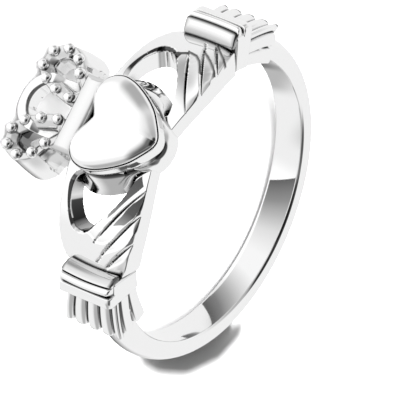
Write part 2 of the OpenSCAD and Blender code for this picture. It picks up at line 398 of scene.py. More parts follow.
# Hand: a strip of metal round the pierced opening. Each line of both tables is one place on the
# opening's edge and the place on the outer edge across from it: degrees from the heart, mm along Z
handSize = {
    "thick": 1.45,
    "crown": 0.14,          # fall of the back of the hand towards both edges
    "backHalf": 2.3,        # half the back's width, over which it falls
    "heelShare": 0.3,       # how much of that fall the heel's side has
    "fingersFrom": -1.3,    # mm along Z, past which the fingers slope to their rim
    "rimFrom": 0.8, "rimOver": 0.8,     # where the outer edge turns from the heel to that rim
    "rimThick": (0.86, 1.3),            # height of the rim above the finger hole, at both ends
    "rimGrows": (28, 18),               # degrees where it starts to grow, and over how many
    "rimSoft": 0.5,         # width over which the back comes down to the rim
    "wallLean": 0.15,       # the side wall under the rim stands out a little towards the finger
    "stepDeep": 0.06, "stepWide": 0.1,  # step at the knuckles
    "slopePower": 1.5,      # how late a finger's slope falls
    "grooveWide": 0.11,
    "grooveDeep": 0.19,
    "grooveNarrow": 0.35,               # share of the width that is left at a groove's ends
    "grooveSides": (1.25, 0.75),        # the far side slants more than the near one
    "groovePowers": (0.75, 0.8, 1.1),   # where it is deepest, how full it is, how sharp
    "outerRound": (0.32, 0.07),         # rounding of the outer edge: heel, rim
    # Slanting edge of the opening: degrees and width, and how much less it is past a place on Z
    "innerBevel": [(-90, 0.18), (20, 0.18), (29, 0.1), (35, 0.16), (90, 0.16)],
    "bevelSlope": 1.25,
    "bevelLess": 0.6, "bevelFrom": -0.9, "bevelOver": 0.8,
    # Painted shade on the wall of the lower hand's opening, for its dark reflection: degrees and
    # amount
    "wallTone": [(-90, 0), (19, 0.2), (20.5, 0.6), (22, 0.5), (25.3, 0.15), (26.6, 0.35),
                 (27.0, 0.97), (33.4, 1), (34.6, 0.8), (36.2, 0.35), (90, 0.35)],
    "wallTo": 9.9, "wallAlong": (-2.6, -0.9),
    # Painted shade on the upper hand, for its dark reflections: a spot at the opening's end, and
    # the fingers past their knuckles
    "spotTone": 0.92, "spotTo": 36.3, "spotAlong": (-2, -0.5), "spotHigh": (9.8, 10.06),
    "slopeTone": 0.9, "slopeFrom": 30, "slopeAlong": (-1.3, 2.1), "slopeHigh": 9.6,
    "slopeFade": (0.06, 0.22),
    "inner": [(12.6, 0.3), (12.0, 1.15), (18.6, 0.88), (25.8, 0.28), (33.0, -0.68), (34.9, -1.08),
              (35.3, -1.42), (34.5, -1.76), (32.2, -2.05), (27.2, -2.36), (20.4, -2.45),
              (16.8, -2.05), (14.8, -0.95)],
    "outer": [(2.0, 0.3), (4.0, 1.6), (14.0, 2.02), (26.0, 2.2), (37.0, 2.1), (46.8, 1.7),
              (48.0, 0.0), (47.2, -1.92), (40.0, -2.72), (31.0, -3.02), (20.0, -3.15),
              (12.0, -3.15), (4.0, -2.0)],
    "steps": [12, 34, 80, 80, 50, 16, 16, 22, 22, 24, 16, 14, 14],
    "grooves": [((36.8, -0.22), (14.4, 2.1)), ((41.0, 0.32), (22.8, 2.24)),
                ((45.0, 0.68), (33.0, 2.2))],
    # Where each finger starts to slope, from its knuckle to the edge
    "knuckles": [[(34.2, -1.2), (35.3, -0.6), (37.0, -0.1)],
                 [(37.2, -0.1), (36.8, 0.38), (35.1, 0.79), (33.1, 1.09), (28.0, 1.75),
                  (23.0, 2.3)],
                 [(41.4, 0.4), (39.8, 0.58), (37.0, 1.33), (33.7, 2.0), (30.8, 2.3)],
                 [(45.3, 0.78), (43.6, 1.12), (40.7, 1.75), (38.5, 2.2)]],
    "topSteps": 72,         # across the outside
    "wallSteps": 8, "underSteps": 12,
    "thinStrip": 1.2,       # a strip narrower than this has all its points drawn to its edges
    "drawn": 0.25,          # share that they are drawn by elsewhere
}


def beyondLine(p, line):
    # Distance from the line, positive on its left, in the units of the points
    best = None
    for q0, q1 in zip(line, line[1:]):
        way = q1 - q0
        t = min(max((p - q0).dot(way) / way.length_squared, 0), 1)
        away = (p - q0 - way * t).length
        if best is None or away < best[0]:
            best = (away, 1 if way.x * (p.y - q0.y) - way.y * (p.x - q0.x) > 0 else -1)
    return best[0] * best[1]


def beyondKnuckle(a, z):
    # Distance past the knuckle of the finger that holds the place
    finger = 0
    for (a0, z0), (a1, z1) in handSize["grooves"]:
        if (a1 - a0) * (z - z0) - (z1 - z0) * (a - a0) < 0:
            finger += 1
    knuckle = [Vector((q[0] * mmPerDegree, q[1])) for q in handSize["knuckles"][finger]]
    return beyondLine(Vector((a * mmPerDegree, z)), knuckle)


def tableValue(table, at):
    # Straight lines between the table's places
    for (x0, y0), (x1, y1) in zip(table, table[1:]):
        if at <= x1:
            return y0 + (y1 - y0) * (at - x0) / (x1 - x0)
    return table[-1][1]


def slopeHeight(a, z, rim, back):
    # The back of the hand where it comes down to the rim, past a knuckle with a step
    h = handSize
    (low, high), (start, over) = h["rimThick"], h["rimGrows"]
    edge = low + (high - low) * ease((a - start) / over)
    toEdge = max(rim - z, 0)
    height = back - max(back - edge, 0) * max(1 - toEdge / h["rimSoft"], 0) ** 2
    beyond = beyondKnuckle(a, z)
    if beyond > 0:
        share = beyond / (beyond + toEdge + 0.001)
        step = h["stepDeep"] * ease(beyond / h["stepWide"]) * (1 - share)
        height = min(height, back - (back - edge) * share ** h["slopePower"] - step)
    return height


def grooveDepth(a, z):
    # How deep the place lies in a groove between two fingers
    h = handSize
    early, full, sharp = h["groovePowers"]
    depth = 0
    for (a0, z0), (a1, z1) in h["grooves"]:
        dx, dz = (a1 - a0) * mmPerDegree, z1 - z0
        px, pz = (a - a0) * mmPerDegree, z - z0
        length = hypot(dx, dz)
        along = (px * dx + pz * dz) / length / length
        if not 0 < along < 1:
            continue
        away = (px * dz - pz * dx) / length
        deep = h["grooveDeep"] * sin(pi * along ** early) ** full
        narrow = h["grooveNarrow"]
        wide = h["grooveWide"] * (narrow + (1 - narrow) * deep / h["grooveDeep"])
        side = abs(away) / (wide * h["grooveSides"][0 if away < 0 else 1])
        if side < 1:
            depth += deep * (1 - side) ** sharp
    return depth


def handThickness(a, z, rim):
    # Height of the hand's outside above the finger hole
    h = handSize
    height = h["thick"] - h["crown"] * (z / h["backHalf"]) ** 2 * (h["heelShare"] if z < 0 else 1)
    if z > h["fingersFrom"] and rim > h["rimFrom"]:
        height = slopeHeight(a, z, rim, height)
    return height - grooveDepth(a, z)


def handSection(i, o):
    # Section through the strip of metal, from a place on the opening's edge to the outer edge
    h, hole = handSize, ringSize["hole"]
    wide = hypot((o.x - i.x) * mmPerDegree, o.y - i.y)
    rim = ease((o.y - h["rimFrom"]) / h["rimOver"])
    heelRound, rimRound = h["outerRound"]
    outerRound = min(heelRound * (1 - rim) + rimRound * rim, 0.5 * wide)
    less = h["bevelLess"] * ease((i.y - h["bevelFrom"]) / h["bevelOver"])
    bevel = tableValue(h["innerBevel"], i.x) * (1 - less)
    drawn = 1 if wide < h["thinStrip"] else h["drawn"]
    radii, section = [], []
    for k in range(h["topSteps"] + 1):
        t = k / h["topSteps"]
        t = (1 - drawn) * t + drawn * (0.5 - 0.5 * cos(pi * t))
        p = i.lerp(o, t)
        fall = max((bevel - t * wide) * h["bevelSlope"], edgeDrop((1 - t) * wide, outerRound), 0)
        radii.append(hole + handThickness(p.x, p.y, o.y) - fall)
        section.append(onRing(radii[-1], p.x, p.y))
    lean, walls, under = h["wallLean"] * rim, h["wallSteps"], h["underSteps"]
    for k in range(1, walls + 1):
        t = k / walls
        section.append(onRing(radii[-1] + (hole - radii[-1]) * t, o.x, o.y + lean * t))
    for k in range(1, under):
        p = Vector((o.x, o.y + lean)).lerp(i, k / under)
        section.append(onRing(hole, p.x, p.y))
    for k in range(walls):
        section.append(onRing(hole + (radii[0] - hole) * k / walls, i.x, i.y))
    return section


def makeHand():
    h = handSize
    inner, outer = (smoothLine(h[key], h["steps"], closed=True) for key in ("inner", "outer"))
    return loft("handLow", [handSection(i, o) for i, o in zip(inner, outer)], ring=True)


def within(value, ends):
    return ends[0] < value < ends[1]


# Painted shade on the lower hand's opening wall, standing in for its dark reflection
def openingTone(p):
    h = handSize
    a, r = aroundRing(p)
    return tableValue(h["wallTone"], a) if r <= h["wallTo"] and within(p.z, h["wallAlong"]) else 0


# Painted shade on the upper hand, standing in for dark reflections at the opening's end and past
# the knuckles
def knuckleTone(p):
    h = handSize
    a, r = aroundRing(p)
    if r < h["slopeHigh"] or a < h["slopeFrom"]:
        return 0
    if a < h["spotTo"] and within(p.z, h["spotAlong"]) and within(r, h["spotHigh"]):
        return h["spotTone"]
    beyond = beyondKnuckle(a, p.z) if within(p.z, h["slopeAlong"]) else -1
    return h["slopeTone"] * fade(beyond, *h["slopeFade"]) if beyond > 0 else 0


finishPair(makeHand(), "handHigh", 40, openingTone, knuckleTone)
print("hands made")

# Cuff: a plate that wraps round the wrist, and a moulded bar across its outside
cuffSize = {
    "corner": 0.3,
    # The plate: degrees from the heart, distance of its outside from the finger's axis, half width
    "plate": [(46.0, 10.3, 1.3), (46.2, 10.5, 1.56), (47.0, 10.8, 1.8), (47.2, 10.85, 1.79),
              (47.4, 10.85, 1.83), (50.5, 10.9, 1.84), (50.75, 11.14, 1.845), (51.0, 11.26, 1.85),
              (52.6, 11.3, 1.86), (54.0, 11.28, 1.86), (54.45, 11.18, 1.83), (54.6, 10.8, 1.6),
              (54.7, 10.2, 1.2)],
    # The bar's outline: degrees and distance from the axis
    "bar": [(45.6, 10.05), (45.3, 10.2), (45.38, 10.32), (45.52, 10.4), (45.68, 10.51),
            (45.87, 10.625), (46.12, 10.743), (46.43, 10.857), (46.77, 10.957), (47.02, 11.018),
            (47.2, 11.05), (47.42, 11.06), (47.62, 10.9), (47.86, 10.98), (48.2, 11.19),
            (48.7, 11.27), (49.3, 11.3), (49.9, 11.25), (50.35, 11.12), (50.6, 10.95),
            (50.6, 10.4)],
    "barReach": 11,         # distance from the axis at which the bar's degrees become mm
    "barMiddle": (48.6, 10.6),
    "barHalf": 1.77, "endRound": 0.26, "endShrink": 0.34, "bow": 0.7,
    # Painted shade across the bar's face, for its reflections, from its foot to the groove under
    # the rib: degrees and amount
    "lowTone": [(0, 0.3), (45.5, 0.34), (46.6, 0.26), (47.2, 0.1), (47.3, 0), (90, 0)],
    "highTone": [(0, 0.5), (45.5, 0.42), (45.8, 0.2), (46.1, 0.05), (46.5, 0.0), (46.8, 0.35),
                 (47.05, 0.85), (47.3, 0.95), (47.9, 0.95), (48.05, 0), (90, 0)],
    # and at the bar's ends: mm along Z where it starts and is full, last degree, both amounts
    "endAlong": (1.41, 1.72), "endTo": 47.3, "endTones": (0.85, 0.6),
}


def wristLine(half, top, corner, steps):
    # Up one flank of the wrist, over its outside and down the other flank: across and height
    up, turn, over = steps
    foot, edge, side = ringSize["hole"], top - corner, half - corner
    turns = [pi / 2 * k / turn for k in range(turn)]
    line = [(-half, foot + (edge - foot) * k / up) for k in range(up)]
    line += [(-side - corner * cos(q), edge + corner * sin(q)) for q in turns]
    line += [(-side + 2 * side * k / over, top) for k in range(over)]
    line += [(side + corner * sin(q), edge + corner * cos(q)) for q in turns]
    line += [(half, edge + (foot - edge) * k / up) for k in range(up + 1)]
    return [Vector(q) for q in line]


def makeCuffPlate():
    c, hole = cuffSize, ringSize["hole"]
    sections = []
    for a, top, half in roundedLine(c["plate"], 0.08):
        points = [onRing(p.y, a, p.x) for p in wristLine(half, top, c["corner"], (14, 8, 40))]
        sections.append(points + [onRing(hole, a, half * (1 - k / 12)) for k in range(1, 24)])
    return loft("cuffLow", sections)


def makeCuffBar():
    c = cuffSize
    mm = radians(1) * c["barReach"]
    outline = roundedLine([(a * mm, r) for a, r in c["bar"]], 0.05, closed=True)
    middle = Vector((c["barMiddle"][0] * mm, c["barMiddle"][1]))
    half, soft = c["barHalf"], c["endRound"]
    straight = half - soft
    places = [(-1 + k / 8) * soft - straight for k in range(9)]
    places += [straight * (k / 8 - 1) for k in range(1, 16)]
    places += [straight + k / 8 * soft for k in range(9)]
    sections = []
    for z in places:
        past = max(abs(z) - straight, 0) / soft
        size = 1 - c["endShrink"] * (1 - sqrt(max(1 - past * past, 0)))
        bow = c["bow"] * (0.5 - (z / half) ** 2)
        section = []
        for p in outline:
            q = middle + (p - middle) * size
            section.append(onRing(q.y, q.x / mm + bow, z))
        sections.append(section)
    return loft("cuffBarLow", sections)


# Painted shade on the cuff bar, standing in for its reflections
def barTone(p, table, ends):
    c = cuffSize
    a = aroundRing(p)[0] - c["bow"] * (0.5 - (p.z / c["barHalf"]) ** 2)
    atEnd = 1 - fade(abs(p.z), *c["endAlong"])
    return max(tableValue(table, a), ends * atEnd if a < c["endTo"] else 0)


cuffPlate, cuffBar = makeCuffPlate(), makeCuffBar()
finishPair(cuffPlate, "cuffHigh", 30)
finishPair(cuffBar, "cuffBarHigh", 30,
           lambda p: barTone(p, cuffSize["lowTone"], cuffSize["endTones"][0]),
           lambda p: barTone(p, cuffSize["highTone"], cuffSize["endTones"][1]))
print("cuffs made")

# Gathered sleeve end behind a cuff: rounded pleats that rise and flare, with rounded tips
pleatSize = {
    "start": 53.5,
    "tip": 67.7,
    "gapTip": 66.6,
    "rootHalf": 1.72, "tipHalf": 2.0,       # measured on the pleats' crests
    "rootTop": 10.48, "tipTop": 10.96,
    "corner": 0.18,
    "count": 5,
    "flankCount": 2,
    "rootHigh": 0.2, "tipHigh": 0.3,
    "crestHalf": 0.47, "crestPower": 2.6,   # share of the spacing, and how square a pleat is
    "flankFrom": 0.45, "flankOver": 0.5,    # mm above the finger hole where the flanks' pleats grow
    "steps": 26,
    # Past the tips: steps, degrees, how early, and the width and height where it all ends
    "tuckSteps": 10, "tuckReach": 0.6, "tuckEarly": 1.35, "tuckWide": 0.55, "tuckHigh": 0.75,
    # Painted shade at the tips: degrees, least distance from the axis, half width, amount
    "toneFrom": (66.9, 67.4), "toneHigh": 10.84, "toneHalf": 2.1, "tone": 0.9,
}


def pleatLine(line, spacing):
    # For each point of a line across the sleeve: its outward way and how far it is up a pleat
    p = pleatSize
    lengths = [0]
    for q0, q1 in zip(line, line[1:]):
        lengths.append(lengths[-1] + (q1 - q0).length)
    out = []
    for n, q in enumerate(line):
        way = (line[min(n + 1, len(line) - 1)] - line[max(n - 1, 0)]).normalized()
        share = (lengths[n] - lengths[-1] / 2) / spacing
        pleated = abs(round(share)) <= (p["count"] - 1) / 2 + p["flankCount"]
        off = abs(share - round(share)) / p["crestHalf"]
        up = sqrt(max(1 - off ** p["crestPower"], 0)) if pleated else 0
        out.append((q, Vector((-way.y, way.x)), up))
    return out


def makePleats():
    p, hole = pleatSize, ringSize["hole"]
    shapes = [(k / p["steps"], 0) for k in range(p["steps"] + 1)]
    # Past the tips the section shrinks under them, back into the band
    shapes += [(1, k / p["tuckSteps"]) for k in range(1, p["tuckSteps"] + 1)]
    tuckTop = hole + p["tuckHigh"]
    sections = []
    for along, closing in shapes:
        rise = ease(along) * 0.5 + along * 0.5
        half = p["rootHalf"] + (p["tipHalf"] - p["rootHalf"]) * rise
        top = p["rootTop"] + (p["tipTop"] - p["rootTop"]) * rise
        high = p["rootHigh"] + (p["tipHigh"] - p["rootHigh"]) * rise
        spacing = 2 * (half - 0.1) / (p["count"] - 1)
        drop = 1 - cos(pi / 2 * closing)
        points = []
        for q, outward, up in pleatLine(wristLine(half, top, p["corner"], (30, 8, 120)), spacing):
            grown = min(max((q.y - hole - p["flankFrom"]) / p["flankOver"], 0), 1)
            tip = p["gapTip"] + (p["tip"] - p["gapTip"]) * up
            past = p["tuckReach"] * sin(pi * min(closing * p["tuckEarly"], 1))
            a = p["start"] + (tip - p["start"]) * along + past
            place = q + outward * high * (up - 1) * grown
            under = Vector((q.x * (1 - (1 - p["tuckWide"]) * drop), q.y))
            if q.y > tuckTop:
                under = Vector((q.x * p["tuckWide"], tuckTop))
            place = place.lerp(under, drop)
            points.append(onRing(place.y, a, place.x))
        last, first = points[-1], points[0]
        a = aroundRing(last)[0]
        points += [onRing(hole, a, last.z + (first.z - last.z) * k / 24) for k in range(1, 24)]
        sections.append(points)
    return loft("pleatsLow", sections)


def pleatTone(p):
    # Painted dark spots at the pleats' tips, standing in for their dark reflections
    s = pleatSize
    a, r = aroundRing(p)
    spot = within(a, s["toneFrom"]) and r > s["toneHigh"] and abs(p.z) < s["toneHalf"]
    return s["tone"] if spot else 0


finishPair(makePleats(), "pleatsHigh", 45, None, pleatTone)
print("pleats made")

# Heart: domed top, upright wall, thin shadow line and a plinth that spreads to the finger hole
heartSize = {
    "width": 5.86, "length": 5.2, "tip": 2.38,
    "rim": 11.0,            # distance of the rim from the finger's axis
    "wall": 0.82, "dome": 0.85, "middle": 0.44,
    "seam": 0.09,           # fine groove where the dome meets its wall
    # Under the wall: distance from the finger's axis, and how far inside the rim the metal lies
    "plinth": [(8.65, -0.35), (9.0, -0.6), (9.05, -0.51), (9.14, -0.4), (9.27, -0.26),
               (9.42, -0.11), (9.5, -0.02), (9.55, 0.04), (9.6, 0.1), (9.68, 0.18), (9.8, 0.26),
               (10.0, 0.28), (10.16, 0.2)],
    "half": [(0, 0.145), (0.17, 0.085), (0.35, 0.025), (0.56, 0), (0.77, 0.035), (0.92, 0.12),
             (0.99, 0.22), (0.995, 0.32), (0.93, 0.46), (0.77, 0.64), (0.58, 0.785), (0.34, 0.9),
             (0.13, 0.98), (0, 1)],
    # Wall and rim in layers: how far inside the rim, and mm over the wall's foot or over the rim
    "foot": [(0.05, 0), (0.012, 0.015), (0, 0.05)],
    "edge": [(0, -0.03), (0.012, -0.008), (0.03, -0.01), (0.04, -0.09), (0.07, -0.1)],
    "oval": (2.0, 1.75), "ovalPower": 2.2, "domePower": 3,
    "domeLayers": 26,
    "gap": (0.6, 0.64),     # the shadow gap's lower end, from the finger hole to the wall's foot
    "gapTone": 0.95,
}


def heartOutline(steps=8):
    h = heartSize
    lobe = h["tip"] - h["length"]
    half = smoothLine([(x * h["width"] / 2, lobe + z * h["length"]) for x, z in h["half"]], steps)
    half[0].x = half[-1].x = 0
    return half + [Vector((-p.x, p.y)) for p in reversed(half[1:-1])]


def shifted(loop, distance):
    # The loop moved sideways, inwards for a positive distance
    n = len(loop)
    out = []
    for i, p in enumerate(loop):
        along = (loop[(i + 1) % n] - loop[i - 1]).normalized()
        out.append(p + Vector((-along.y, along.x)) * distance)
    return out


def makeHeart():
    h = heartSize
    rim = heartOutline()
    lobe = h["tip"] - h["length"]
    middle = Vector((0, lobe + h["middle"] * h["length"]))
    sections = []

    def layer(loop, y):
        return [Vector((p.x, -y, p.y)) for p in loop]

    # The underside follows the finger hole, from the middle out
    for share in (0.03, 0.2, 0.4, 0.6, 0.8):
        spread = [middle + (p - middle) * share for p in shifted(rim, h["plinth"][0][1])]
        sections.append([borePoint(p.x, p.y) for p in spread])

    # The plinth spreads below a deep shadow gap, and less so at the heart's tip, over the nose
    bottom, top = h["plinth"][0][0], h["plinth"][-1][0]
    for r, inset in h["plinth"]:
        share = (r - bottom) / (top - bottom)
        loop = []
        for p, q, tight in zip(rim, shifted(rim, inset), shifted(rim, max(inset, 0.05))):
            q = q.lerp(tight, ease((p.y - 0.2) / 1.5))
            loop.append(borePoint(q.x, q.y).lerp(Vector((q.x, -top, q.y)), share))
        sections.append(loop)
    for inset, rise in h["foot"]:
        sections.append(layer(shifted(rim, inset), h["rim"] - h["wall"] + rise))
    for share in (0.25, 0.5, 0.75):
        sections.append(layer(rim, h["rim"] - h["wall"] * (1 - share)))
    for inset, rise in h["edge"]:
        sections.append(layer(shifted(rim, inset), h["rim"] + rise))
    # The dome: outlines that turn from a heart to an oval as they rise
    for k in range(h["domeLayers"]):
        share = cos(pi / 2 * k / h["domeLayers"])
        blend = share ** h["ovalPower"]
        high = h["dome"] * sqrt(1 - share ** h["domePower"])
        loop = []
        for p in shifted(rim, h["seam"]):
            q = p - middle
            a = atan2(q.y, q.x)
            oval = Vector((cos(a) * h["oval"][0], sin(a) * h["oval"][1]))
            loop.append(middle + share * (q * blend + oval * (1 - blend)))
        sections.append(layer(loop, h["rim"] + high))
    return loft("heart", sections)


def gapTone(p):
    # The shadow gap under the heart's wall is painted dark: painted shade
    h = heartSize
    if -p.y >= h["rim"] - h["wall"] + 0.012:
        return 0
    top, behind = h["plinth"][-1][0], -boreWall(p.x)
    return h["gapTone"] * (1 - fade((-p.y - behind) / (top - behind), *h["gap"]))


finishPiece(makeHeart(), 38, gapTone)
print("heart made")

# Rounded nose of the two palms below the heart's tip
noseSize = {
    "radius": 1.75, "reach": 2.4, "top": 10.12, "soft": 0.75,
    "below": 0.6,           # how far under the finger hole's wall the cylinder starts
    "underLoops": 5,
}


def makeNose():
    s, hole = noseSize, ringSize["hole"]
    start = hole - s["below"]
    middle = (0, -(s["top"] + start) / 2, s["reach"] - s["radius"])
    obj = newMesh("palmNose", bpy.ops.mesh.primitive_cylinder_add, vertices=96,
                  radius=s["radius"], depth=s["top"] - start, location=middle,
                  rotation=(pi / 2, 0, 0))
    openEdit(obj)
    pickParts(obj, "FACE", lambda p: p.y < -s["top"] + ringSize["touch"])
    bpy.ops.mesh.bevel(offset=s["soft"], segments=10, affect="EDGES")
    pickParts(obj, "FACE", lambda p: p.y > -hole)
    for k in range(s["underLoops"]):
        bpy.ops.mesh.inset(thickness=s["radius"] / (s["underLoops"] + 1))
    pickParts(obj, "VERT", lambda p: p.y > -hole)
    mesh = bmesh.from_edit_mesh(obj.data)
    for v in mesh.verts:        # the underside follows the finger hole
        if v.select:
            v.co = borePoint(v.co.x, v.co.z)
    bmesh.update_edit_mesh(obj.data)
    closeEdit()
    return obj


finishPiece(makeNose(), 35)
print("nose made")

# Crown: foot bar, two beaded petals and a plain arch, on a plane that falls towards the finger
crownSize = {
    "top": 10.5, "foot": -3.175, "fall": 11,
    "footWide": 4.8, "footThick": 1.5, "footMiddle": -3.4, "footTop": 10.68, "footSoft": 0.5,
    "footBelow": 0.7, "footCorner": 0.2,
    "footSag": (0.02, 0.6),     # the bar bends a little towards the heart in its middle
    "petalX": 3.4, "petalL": 4.35, "petalWide": 0.7, "petalLip": 0.14,
    "flare": 0.3,
    "root": (0.4, 0.2),
    "bead": 0.345, "beadOut": 0.07,
    # The beads' places, as shares of petalX and petalL
    "beads": [(0.224, 0.349), (0.29, 0.62), (0.415, 0.851), (0.6, 1), (0.865, 0.945),
              (0.976, 0.726), (0.86, 0.504), (0.642, 0.376)],
    # The arch's top is wider than its foot, and its legs sink under the petals
    "archR": 1.7, "archL": 4.85, "archWide": 0.5, "archOver": 0.12, "archDeep": 1.15,
    "archStart": 0.1, "archSink": 0.6, "sinkFrom": 3.35, "sinkOver": 0.7,
    # Painted shade: between the beads, inside the low and high petal, under the arch's edge, its
    # foot
    "rimTone": 0.24, "insideTones": (0.75, 0.15), "archTone": 0.9, "archFootTone": 0.65,
}


def crownPoint(x, down, high):
    # Point of the crown: x across, down along it, high above its plane
    c = crownSize
    fall = radians(c["fall"])
    return Vector((x, -c["top"] + down * sin(fall) - high * cos(fall),
                   c["foot"] - down * cos(fall) - high * sin(fall)))


def crownPlace(p):
    # The other way round: how far down the crown a point lies, and how high above its plane
    c = crownSize
    fall, y, z = radians(c["fall"]), p.y + c["top"], p.z - c["foot"]
    return y * sin(fall) - z * cos(fall), -y * cos(fall) - z * sin(fall)


def crownFloor(x, down):
    # How far below the crown's plane the finger hole lies there, as a negative height
    fall = radians(crownSize["fall"])
    return (-crownSize["top"] + down * sin(fall) - boreWall(x)) / cos(fall)


def makeFoot():
    c, touch = crownSize, ringSize["touch"]
    top, side = c["footTop"], c["footWide"] / 2
    deep = top - ringSize["hole"] + c["footBelow"]
    middle = (0, -top + deep / 2, c["footMiddle"])
    obj = newMesh("crownFoot", bpy.ops.mesh.primitive_cube_add, size=1, location=middle)
    openEdit(obj)
    bpy.ops.transform.resize(value=(c["footWide"], deep, c["footThick"]), center_override=middle)
    pickParts(obj, "EDGE", lambda p: p.y < -top + touch)
    bpy.ops.mesh.bevel(offset=c["footSoft"], segments=10, affect="EDGES", profile=0.5)
    pickParts(obj, "EDGE",
              lambda p: abs(abs(p.x) - side) < touch and p.y > -top + c["footSoft"] + touch)
    bpy.ops.mesh.bevel(offset=c["footCorner"], segments=4, affect="EDGES")
    bpy.ops.mesh.select_all(action="SELECT")
    bpy.ops.mesh.subdivide(number_cuts=3)
    mesh = bmesh.from_edit_mesh(obj.data)
    sag, bend = c["footSag"]
    for v in mesh.verts:
        v.co.z += sag * cos(v.co.x * bend)
        v.co.y = min(v.co.y, boreWall(v.co.x))
    bmesh.update_edit_mesh(obj.data)
    closeEdit()
    return obj


def footTone(p):
    # Painted shade along its rounded edges and at its ends
    c = crownSize
    across, end = abs(p.z - c["footMiddle"]) / (c["footThick"] / 2), c["footWide"] / 2
    return max(0.08 + 0.34 * across * across, 0.35 * (1 - fade(abs(p.x), end - 0.45, end)))


finishPiece(makeFoot(), 35, footTone)


def petalTrack(steps=18):
    c = crownSize
    places = [(x * c["petalX"], -down * c["petalL"]) for x, down in [c["root"]] + c["beads"]]
    return smoothLine(places, steps, closed=True)


def makePetal():
    c = crownSize
    track = petalTrack()
    n = len(track)
    half = c["petalWide"] / 2
    sections = []
    for i, p in enumerate(track):
        along = (track[(i + 1) % n] - track[i - 1]).normalized()
        out = Vector((along.y, -along.x))       # away from the pierced middle
        flare = c["flare"] * ease((p.x - 1.2) / 1.0) * ease((p.y + 4.2) / 1.6)
        inside = half + c["petalLip"]           # the rim slopes down to the pierced middle
        shape = [(-inside, -1), (-inside, -0.4), (0, 0), (half, -0.02), (half, -1)]
        shape = roundedLine(shape, 0.2, 6)
        line = []
        for q in shape[1:-1]:
            place = p + out * q.x
            line.append(crownPoint(place.x, -place.y, q.y))
        for side, start, order in ((half, -0.2, range(1, 9)), (-inside, -0.6, range(8, 0, -1))):
            for k in order:
                t = k / 8
                place = p + out * (side + (flare * sin(pi / 2 * t) if side > 0 else 0))
                low = crownFloor(place.x, -place.y)
                line.append(crownPoint(place.x, -place.y, start + (low - start) * t))
        sections.append(line)
    return loft("petalLow", sections, ring=True)


def petalTone(p, inner):
    # Painted shade on the rim between the beads, and darker painted shade inside the opening, away
    # from the foot bar
    down, high = crownPlace(p)
    if high > -0.3:
        return crownSize["rimTone"]
    if hypot(abs(p.x) - 2.2, (down - 2.6) / 1.65) < 1:
        return inner * (0.25 + 0.75 * ease((down - 1.6) / 2.2))
    return 0


finishPair(makePetal(), "petalHigh", 40, lambda p: petalTone(p, crownSize["insideTones"][0]),
           lambda p: petalTone(p, crownSize["insideTones"][1]))


def makeBeads():
    # Eight beads on one petal's rim: one is modelled, the others are copies, joined to one piece
    c = crownSize
    track = petalTrack()
    steps = len(track) // (len(c["beads"]) + 1)
    first = newMesh("bead", bpy.ops.mesh.primitive_uv_sphere_add,
                    segments=32, ring_count=20, radius=c["bead"])
    openEdit(first)
    pickParts(first, "VERT", lambda p: p.y > 0.12)      # a waist where it is set
    bpy.ops.transform.resize(value=(0.9, 1, 0.9), center_override=(0, 0, 0))
    closeEdit()
    beads = []
    for n in range(steps, len(track), steps):
        along = (track[(n + 1) % len(track)] - track[n - 1]).normalized()
        place = track[n] + Vector((along.y, -along.x)) * c["beadOut"]
        pickOnly(first)
        bpy.ops.object.duplicate()
        bead = bpy.context.object
        bead.data.transform(Matrix.Translation(crownPoint(place.x, -place.y, 0.02)))
        beads.append(bead)
    bpy.data.objects.remove(first)
    pickOnly(beads[0])
    for bead in beads:
        bead.select_set(True)
    bpy.ops.object.join()
    obj = bpy.context.object
    obj.name = obj.data.name = "beadsLow"
    return obj


finishPair(makeBeads(), "beadsHigh", 60)


def makeArch():
    c = crownSize
    half, start = c["archWide"] / 2, c["archStart"]
    r, top = c["archR"] - half, c["archL"] - c["archR"]
    line = [Vector((r, start + (top - start) * k / 12)) for k in range(12)]
    line += [Vector((r * cos(radians(a)), top + r * sin(radians(a)))) for a in range(0, 181, 4)]
    line += [Vector((-r, top - (top - start) * k / 12)) for k in range(1, 13)]
    shape = [(-half, -c["archDeep"]), (-half, -0.3), (-half, 0.03), (half + c["archOver"], 0.03),
             (half, -c["archDeep"])]
    shape = roundedLine(shape, 0.1, 5, closed=True)
    sections = []
    for i, p in enumerate(line):
        along = (line[min(i + 1, len(line) - 1)] - line[max(i - 1, 0)]).normalized()
        out = Vector((along.y, -along.x))
        sink = c["archSink"] * ease((c["sinkFrom"] - p.y) / c["sinkOver"])
        section = []
        for q in shape:
            place = p + out * q.x
            high = max(q.y - sink, crownFloor(place.x, place.y))
            section.append(crownPoint(place.x, place.y, high))
        sections.append(section)
    return loft("crownArch", sections)


def archTone(p):
    # Painted shade: a dark line under the inner edge, and darker where it meets the petal on the
    # lower side
    c = crownSize
    down, high = crownPlace(p)
    away = hypot(p.x, max(down - (c["archL"] - c["archR"]), 0))
    if high >= 0 or away >= c["archR"] - c["archWide"] + 0.05:      # only its inner side
        return 0
    if -0.27 < high < -0.02:
        return c["archTone"]
    return c["archFootTone"] * ease((p.x - 0.7) / 0.5)


finishPiece(makeArch(), 35, archTone)
print("crown made")

